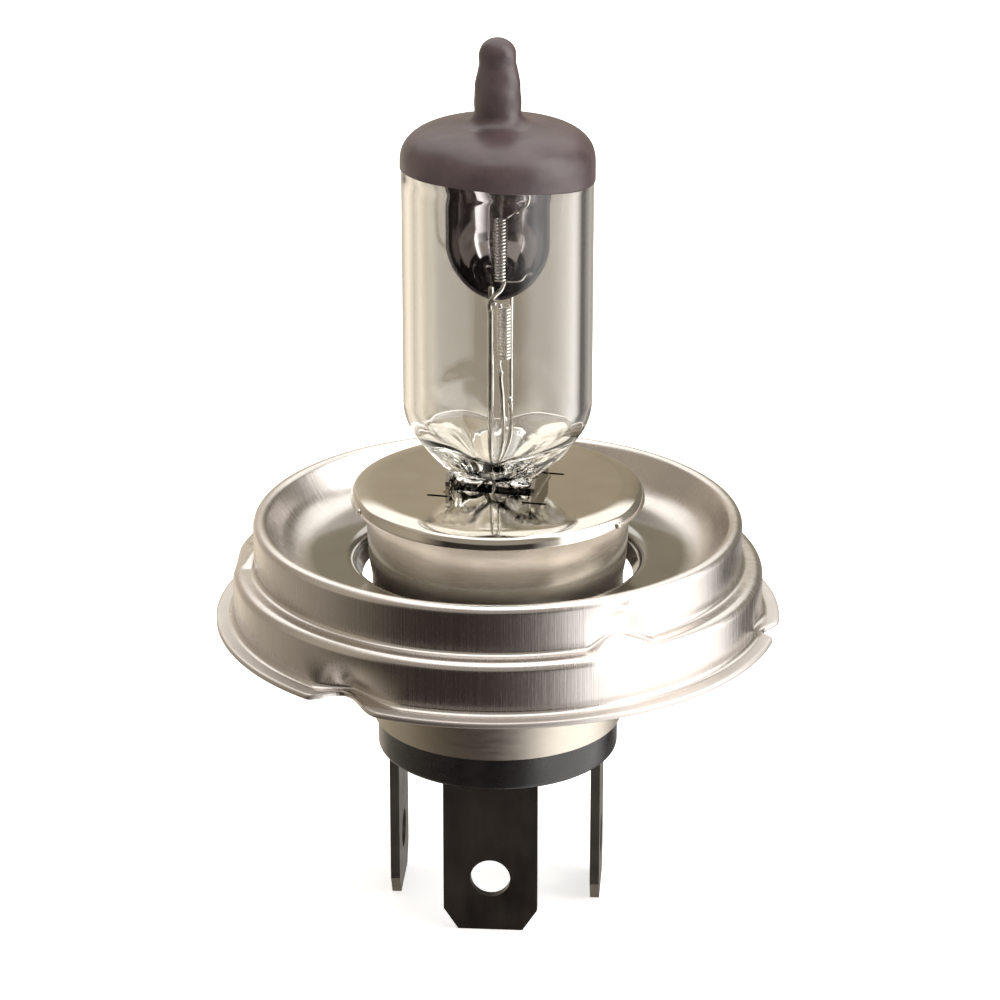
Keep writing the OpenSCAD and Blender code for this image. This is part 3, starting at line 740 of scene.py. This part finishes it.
place(dress(build_shield(), dark_shield), "shield", "dipping_shield")
foot_path = catmull([(-0.62, -0.25, 26.9), (-0.60, -0.22, 27.5), (-0.25, -0.1, 28.0),
                     (0.25, 0.25, 28.35), (0.5, 0.6, 28.9)], 6)
place(dress(tube("shield_foot", foot_path, 0.26, 14), moly), "shield")

# ---- Filaments and wires ---------------------------------------------------------------

COIL_D, COIL_WIRE, COIL_PITCH = 1.26, 0.17, 0.29
POST_R, WIRE_R = 0.28, 0.21


def coil_path(axis, z, length, low_leg, high_leg, start):
    """Helix with a leg at both ends; start is its first point's angle in radians."""
    steps = 28
    n = round(length / COIL_PITCH) * steps
    r = (COIL_D - COIL_WIRE) / 2
    helix = [Vector((axis[0] + r * math.cos(start + 2 * math.pi * i / steps),
                     axis[1] + r * math.sin(start + 2 * math.pi * i / steps),
                     z + COIL_WIRE / 2 + (length - COIL_WIRE) * i / n)) for i in range(n + 1)]
    return (catmull(low_leg + [helix[0]], 6)[:-1] + helix
            + catmull([helix[-1]] + high_leg, 6)[1:])


low_coil = coil_path((0.2, 0.0), 29.1, 5.6,
                     [(2.35, 0.35, 29.67), (1.9, -0.05, 29.3), (1.05, -0.2, 29.22)],
                     [(1.1, 0.15, 34.85), (1.53, 0.2, 35.06)], 0.0)
high_coil = coil_path((0.55, 0.0), 22.5, 4.7,
                      [(0.3, -0.75, 21.75), (0.24, -0.68, 22.2)],
                      [(0.3, -0.62, 27.25), (0.05, -0.53, 27.37)], math.radians(240))
for name, coil, node in (("low_beam_coil", low_coil, "low_beam_filament"),
                         ("high_beam_coil", high_coil, "high_beam_filament")):
    place(dress(tube(name, coil, COIL_WIRE / 2, 10), tungsten), "tungsten", node)

post = catmull([(-2.3, 0, 9.0), (-2.3, 0, 10.2), (-1.5, 0, 11.6), (-0.72, 0, 12.8),
                (-0.6, 0, 14.0), (-0.57, 0, 20.0), (-0.55, 0, 28.6)], 10)
low_wire = catmull([(0.0, 0, 9.0), (0.05, 0, 10.4), (0.6, 0.8, 12.2), (1.0, 1.4, 13.8),
                    (1.0, 1.5, 17.5), (1.0, 1.6, 20.0), (1.0, 1.6, 25.5), (1.0, 2.9, 27.6),
                    (1.0, 4.75, 29.2), (1.0, 5.2, 31.0), (1.0, 5.25, 38.2), (1.3, 4.7, 39.3),
                    (2.1, 3.0, 39.6), (2.4, 0.9, 39.4), (2.42, 0.25, 38.5), (2.4, 0.2, 36.1),
                    (2.2, 0.2, 35.6), (1.70, 0.2, 35.2)], 10)
high_wire = catmull([(2.3, 0, 9.0), (2.1, 0, 10.4), (1.2, -0.4, 12.2), (0.62, -0.72, 13.7),
                     (0.56, -0.75, 16.4), (0.46, -0.75, 18.4), (0.42, -0.75, 19.6),
                     (0.30, -0.76, 20.8), (0.3, -0.75, 21.35)], 10)
for name, path, radius, sides, node in (
        ("common_post_wire", post, POST_R, 20, "common_support_post"),
        ("low_beam_wire", low_wire, WIRE_R, 18, "low_beam_support_wire"),
        ("high_beam_wire", high_wire, WIRE_R, 18, "high_beam_support_wire")):
    place(dress(tube(name, path, radius, sides), moly), "molybdenum", node)

# weld beads: centre, radius and half height
BEADS = [(2.66, 0.4, 29.75, 0.27, 0.22), (1.53, 0.2, 35.06, 0.25, 0.2),
         (0.3, -0.75, 21.5, 0.27, 0.3), (-0.26, -0.5, 27.4, 0.25, 0.25),
         (0.62, -0.6, 17.3, 0.26, 0.34), (0.95, 1.3, 18.4, 0.27, 0.34)]


def build_beads():
    """Slightly uneven weld beads as one mesh of small rounded lumps."""
    n = 12
    verts, faces = [], []
    for x, y, z, rx, rz in BEADS:
        faces += grid_faces(n + 1, 2 * n, False, True, len(verts))
        for i in range(n + 1):
            t = math.pi * i / n
            for k in range(2 * n):
                a = math.pi * k / n
                d = Vector((math.sin(t) * math.cos(a), math.sin(t) * math.sin(a), math.cos(t)))
                s = 1 + 0.12 * noise.noise(d * 1.7 + Vector((x, y, z)))
                verts.append((x + d.x * rx * s, y + d.y * rx * s, z + d.z * rz * s))
    return make_object("weld_beads", verts, faces, angle=60)


place(dress(build_beads(), moly), "molybdenum", "filament_welds")

# ---- Cup ------------------------------------------------------------------------------

SLEEVE_Z = (-9.5, 3.3)
CUP_T = 0.35
CUP_RIM_Z, CUP_RIM_R = 9.75, 11.95

cup_outer = ([(SLEEVE_R, z) for z in SLEEVE_Z]
             + [(10.72, 3.7), (10.80, 4.15), (10.90, 4.7), (10.96, 5.3), (11.02, 6.4),
                (11.07, 7.6), (CUP_R, 8.8), (CUP_R, CUP_RIM_Z)]
             + arc(CUP_R + CUP_T, CUP_RIM_Z, CUP_T, 180, 90, 6)
             + [(CUP_RIM_R, CUP_RIM_Z + CUP_T)])
cup_outer = refine(cup_outer, 0.4)
cup = revolve("cup_and_sleeve", cup_outer + offset(cup_outer, -CUP_T)[::-1], 360)
place(dress(cup, shell), "shell", "base_shell")

# ---- Bulb plate -------------------------------------------------------------------------

PLATE_T = 0.4
PLATE_FLAT_R = 10.236                # the flat top ends here and the rim starts to fall
FALL_R, FALL_END = 6.5, 75           # gentle fall of the rim, and the slope it reaches
BEND_R, SKIRT_START = 0.5, 22        # tight outer bend
SKIRT_R, SKIRT_END = 2.5, 6          # slightly rounded skirt
OPENING = (3.36, 2.5)                # half sizes of the hole for the pinch
SLIT_HALF = 0.20
SLIT_POINT = 0.16                    # length of a slit's pointed ends
SLIT_X = {1: (3.05, 4.95), -1: (3.45, 5.05)}    # its ends, right and left of the pinch
SLIT_Y = (-4.05, 3.2)                # front and back
TONGUE_T = 0.32
TONGUE_HALF, TONGUE_TAPER, TONGUE_TAPER_Z = 2.85, 0.45, (12.2, 12.9)
TONGUE_BACK = 0.2                    # the tongues sit this much towards the front


def cut(obj, cutters):
    """Cuts the shapes out of obj and keeps only the result."""
    for c in cutters:
        m = obj.modifiers.new("cut", "BOOLEAN")
        m.operation = "DIFFERENCE"
        m.solver = "EXACT"
        m.object = c
    graph = bpy.context.evaluated_depsgraph_get()
    mesh = bpy.data.meshes.new_from_object(obj.evaluated_get(graph))
    obj.modifiers.clear()
    obj.data = mesh
    for c in cutters:
        bpy.data.objects.remove(c)


def slab(name, outline, low, high):
    """Upright prism over an outline in the XY plane."""
    n = len(outline)
    verts = [(x, y, low) for x, y in outline] + [(x, y, high) for x, y in outline]
    faces = [tuple(reversed(range(n))), tuple(range(n, 2 * n))]
    faces += [(k, (k + 1) % n, n + (k + 1) % n, n + k) for k in range(n)]
    return make_object(name, verts, faces, smooth=False)


def hole_radius(a):
    """Distance from the axis to the pinch's hole at azimuth a."""
    return min(OPENING[0] / max(abs(math.cos(a - PINCH_TURN)), 1e-6),
               OPENING[1] / max(abs(math.sin(a - PINCH_TURN)), 1e-6))


def build_plate():
    steps = 288
    turns = [2 * math.pi * k / steps for k in range(steps)]
    edge = arc(PLATE_FLAT_R, PLATE_Z - FALL_R, FALL_R, 90, FALL_END, 8)
    for radius, start, stop, n in ((BEND_R, FALL_END, SKIRT_START, 8),
                                   (SKIRT_R, SKIRT_START, SKIRT_END, 10)):
        r, z = edge[-1]
        c, d = math.cos(math.radians(start)), math.sin(math.radians(start))
        edge += arc(r - radius * c, z - radius * d, radius, start, stop, n)[1:]
    verts = []
    flat_end = PLATE_FLAT_R - 1.0
    for z, shares in ((PLATE_Z - PLATE_T, (1.0, 0.66, 0.33, 0.0)),
                      (PLATE_Z, (0.0, 0.33, 0.66, 1.0))):
        for share in shares:
            for a in turns:
                r = hole_radius(a) + (flat_end - hole_radius(a)) * share
                verts.append((r * math.cos(a), r * math.sin(a), z))
    for r, z in edge + offset(edge, PLATE_T)[::-1]:
        verts += [(r * math.cos(a), r * math.sin(a), z) for a in turns]
    obj = make_object("bulb_plate_sheet", verts,
                      grid_faces(len(verts) // steps, steps, True, True), angle=30)
    slits = []
    for side, (x0, x1) in sorted(SLIT_X.items()):
        for y in SLIT_Y:
            outline = [turned(side * x, y + dy) for x, dy in (
                (x0, -SLIT_HALF), (x1, -SLIT_HALF), (x1 + SLIT_POINT, 0.0),
                (x1, SLIT_HALF), (x0, SLIT_HALF), (x0 - SLIT_POINT, 0.0))]
            slits.append(slab("slit", outline[::side], PLATE_Z - 2, PLATE_Z + 1))
    cut(obj, slits)
    shade(obj, 30)
    return obj


def build_tongues():
    """The two ears bent up beside the pinch, with rounded corners and a soft root bend."""
    path = arc(3.98, 11.6, 0.5, 270, 180, 6) + [(3.50, 12.2), (3.52, 12.9)]
    loop = path + offset(path, TONGUE_T)[::-1]
    n = len(loop)
    cols = 15
    verts, faces = [], []
    for side in (-1, 1):
        start = len(verts)
        for x, z in loop:
            half = TONGUE_HALF - TONGUE_TAPER * smoothstep(*TONGUE_TAPER_Z, z)
            for k in range(cols):
                across = 2 * k / (cols - 1) - 1
                verts.append((*turned(side * x, across * half - TONGUE_BACK), z))
        new = grid_faces(n, cols, True, False, start)
        faces += new if side > 0 else [tuple(reversed(f)) for f in new]
        for k, flip in ((0, False), (cols - 1, True)):
            for i in range(n // 2 - 1):
                quad = (start + i * cols + k, start + (i + 1) * cols + k,
                        start + (n - 2 - i) * cols + k, start + (n - 1 - i) * cols + k)
                faces.append(quad if flip == (side > 0) else tuple(reversed(quad)))
    return make_object("bulb_plate_tongues", verts, faces, angle=40)


place(dress(build_plate(), mirror), "bright_plate", "bulb_plate")
place(dress(build_tongues(), mirror), "bright_plate")

# ---- Camera, floor, light ------------------------------------------------------------

CAMERA_AT, CAMERA_AIM = (19.7, -279.3, 117.5), (0.19, 0.01, 9.75)
CAMERA_LENS, CAMERA_SENSOR = 127.84, 36.0
FLOOR_HALF, FLOOR_LEVEL, FLOOR_GLOW = 2500, -26.15, 0.62

scene = bpy.context.scene
camera_data = bpy.data.cameras.new("camera")
camera_data.sensor_width = CAMERA_SENSOR
camera_data.lens = CAMERA_LENS
camera_data.dof.use_dof = False
camera_data.clip_start = 0.01
camera_data.clip_end = 20.0
camera = bpy.data.objects.new("camera", camera_data)
scene.collection.objects.link(camera)
scene.camera = camera

scene.view_settings.view_transform = "Standard"
scene.view_settings.look = "None"


def aim(obj, where, target):
    """Puts obj at one point in millimetres, looking at another."""
    obj.location = Vector(where) * MM
    direction = Vector(target) * MM - obj.location
    obj.rotation_euler = direction.to_track_quat("-Z", "Y").to_euler()


aim(camera, CAMERA_AT, CAMERA_AIM)

# What the pieces reflect: colours by azimuth in degrees, where 0 is the camera's side (-Y)
# and +90 the right (+X). LOW is near the horizon and under it, HIGH is above it.
LOW = [
    (-180, (0.30, 0.255, 0.195)), (-169, (0.36, 0.31, 0.245)), (-159, (0.98, 0.86, 0.68)),
    (-145, (1.10, 0.97, 0.79)), (-128, (0.60, 0.54, 0.44)), (-90, (0.36, 0.32, 0.26)),
    (-62, (0.17, 0.145, 0.11)), (-42, (0.050, 0.038, 0.035)), (0, (0.05, 0.036, 0.034)),
    (14, (0.11, 0.094, 0.09)), (30, (0.25, 0.225, 0.22)), (50, (2.2, 2.17, 2.13)),
    (114, (2.2, 2.17, 2.13)), (124, (0.62, 0.60, 0.58)), (134, (0.08, 0.07, 0.06)),
    (144, (0.10, 0.09, 0.08)), (156, (0.36, 0.33, 0.30)), (166, (0.66, 0.63, 0.60)),
    (173, (0.50, 0.45, 0.38)), (179, (0.30, 0.255, 0.195))]
HIGH = [
    (-180, (0.50, 0.43, 0.31)), (-170, (0.58, 0.51, 0.38)), (-155, (0.84, 0.75, 0.62)),
    (-130, (0.62, 0.55, 0.45)), (-110, (0.45, 0.40, 0.33)), (-60, (0.60, 0.54, 0.44)),
    (-48, (0.30, 0.26, 0.21)), (-36, (0.05, 0.042, 0.038)), (30, (0.06, 0.052, 0.050)),
    (50, (0.9, 0.87, 0.84)), (60, (4.2, 4.15, 4.08)), (98, (4.2, 4.15, 4.08)),
    (115, (0.45, 0.42, 0.38)), (140, (0.28, 0.255, 0.21)), (166, (0.28, 0.25, 0.19)),
    (176, (0.46, 0.40, 0.29))]
OVER_TOP = 100                       # an elevation past the zenith, for panels that reach it
HIGH_FROM, HIGH_SOFT = -4, 9
# panels over these: first elevation and its softness, azimuths and theirs, colour
PANELS = [(13, 4, (-50, 45), 15, (0.46, 0.42, 0.37)),
          (46, 8, (-115, -60), 20, (0.7, 0.65, 0.58))]
BEHIND = (30, 6, (-115, 115), 20, (1.9, 1.87, 1.8))      # everywhere but these azimuths
OVERHEAD = (64, 7, (2.3, 2.28, 2.24))


def build_world():
    """Pale backdrop for the camera; a studio of large soft panels for everything else."""
    world = bpy.data.worlds.new("studio")
    scene.world = world
    world.use_nodes = True
    nodes, links = world.node_tree.nodes, world.node_tree.links
    nodes.clear()

    def math_node(operation, *inputs):
        node = nodes.new("ShaderNodeMath")
        node.operation = operation
        for socket, value in zip(node.inputs, inputs):
            if isinstance(value, (int, float)):
                socket.default_value = value
            else:
                links.new(value, socket)
        return node.outputs[0]

    def window(value, low, high, soft):
        """1 between low and high, fading to 0 over soft on both sides."""
        out = []
        for a, b in ((low - soft, low), (high + soft, high)):
            node = nodes.new("ShaderNodeMapRange")
            node.interpolation_type = "SMOOTHSTEP"
            node.inputs["From Min"].default_value = min(a, b)
            node.inputs["From Max"].default_value = max(a, b)
            node.inputs["To Min"].default_value = 0.0 if a < b else 1.0
            node.inputs["To Max"].default_value = 1.0 if a < b else 0.0
            links.new(value, node.inputs["Value"])
            out.append(node.outputs["Result"])
        return math_node("MULTIPLY", *out)

    def panorama(stops):
        """Colour that follows the azimuth."""
        ramp = nodes.new("ShaderNodeValToRGB")
        while len(ramp.color_ramp.elements) < len(stops):
            ramp.color_ramp.elements.new(0.5)
        for element, (azimuth, colour) in zip(ramp.color_ramp.elements, stops):
            element.position = azimuth / 360 + 0.5
            element.color = (*colour, 1.0)
        links.new(math_node("MULTIPLY_ADD", turn, 1 / 360, 0.5), ramp.inputs["Fac"])
        return ramp.outputs["Color"]

    def mix(mask, below):
        """Mix node that shows its second colour where mask is 1."""
        node = nodes.new("ShaderNodeMix")
        node.data_type = "RGBA"
        links.new(mask, node.inputs["Factor"])
        links.new(below, node.inputs[6])
        return node

    def panel(mask, below, colour):
        node = mix(mask, below)
        node.inputs[7].default_value = (*colour, 1.0)
        return node.outputs[2]

    coord = nodes.new("ShaderNodeTexCoord")
    split = nodes.new("ShaderNodeSeparateXYZ")
    links.new(coord.outputs["Generated"], split.inputs[0])
    back = math_node("MULTIPLY", split.outputs["Y"], -1.0)
    turn = math_node("MULTIPLY", math_node("ARCTAN2", split.outputs["X"], back), 180 / math.pi)
    rise = math_node("MULTIPLY", math_node("ARCSINE", split.outputs["Z"]), 180 / math.pi)

    both = mix(window(rise, HIGH_FROM, OVER_TOP, HIGH_SOFT), panorama(LOW))
    links.new(panorama(HIGH), both.inputs[7])
    start, soft, azimuths, side_soft, colour = BEHIND
    elsewhere = math_node("SUBTRACT", 1.0, window(turn, *azimuths, side_soft))
    out = panel(math_node("MULTIPLY", window(rise, start, OVER_TOP, soft), elsewhere),
                both.outputs[2], colour)
    for start, soft, azimuths, side_soft, colour in PANELS:
        out = panel(math_node("MULTIPLY", window(rise, start, OVER_TOP, soft),
                              window(turn, *azimuths, side_soft)), out, colour)
    start, soft, colour = OVERHEAD
    out = panel(window(rise, start, OVER_TOP, soft), out, colour)

    studio = nodes.new("ShaderNodeBackground")
    links.new(out, studio.inputs["Color"])
    plain = nodes.new("ShaderNodeBackground")
    plain.inputs["Color"].default_value = (1.0, 1.0, 1.0, 1.0)
    ray = nodes.new("ShaderNodeLightPath")
    choose = nodes.new("ShaderNodeMixShader")
    links.new(ray.outputs["Is Camera Ray"], choose.inputs[0])
    links.new(studio.outputs[0], choose.inputs[1])
    links.new(plain.outputs[0], choose.inputs[2])
    end = nodes.new("ShaderNodeOutputWorld")
    links.new(choose.outputs[0], end.inputs["Surface"])


build_world()

floor = make_object("floor", [(x * FLOOR_HALF, y * FLOOR_HALF, FLOOR_LEVEL)
                              for x, y in ((-1, -1), (1, -1), (1, 1), (-1, 1))],
                    [(0, 1, 2, 3)], smooth=False)
paper = Look("floor_paper", Roughness=1.0)
paper.drive("Base Color", paper.tones(paper.noise(30), (0.90, 0.90, 0.90), (0.93, 0.93, 0.93)))
paper.shader.inputs["Specular IOR Level"].default_value = 0.0
paper.shader.inputs["Emission Color"].default_value = (1, 1, 1, 1)
paper.shader.inputs["Emission Strength"].default_value = FLOOR_GLOW
dress(floor, paper)
floor.visible_glossy = False
floor.visible_transmission = False

SOFTBOX_AT, SOFTBOX_AIM, SOFTBOX_SIZE, SOFTBOX_WATTS = (120, 60, 420), (0, 0, 5), 260, 1.2

softbox_data = bpy.data.lights.new("top_softbox", "AREA")
softbox_data.shape = "RECTANGLE"
softbox_data.size = softbox_data.size_y = SOFTBOX_SIZE * MM
softbox_data.energy = SOFTBOX_WATTS
softbox = bpy.data.objects.new("top_softbox", softbox_data)
aim(softbox, SOFTBOX_AT, SOFTBOX_AIM)
softbox.visible_glossy = False
scene.collection.objects.link(softbox)
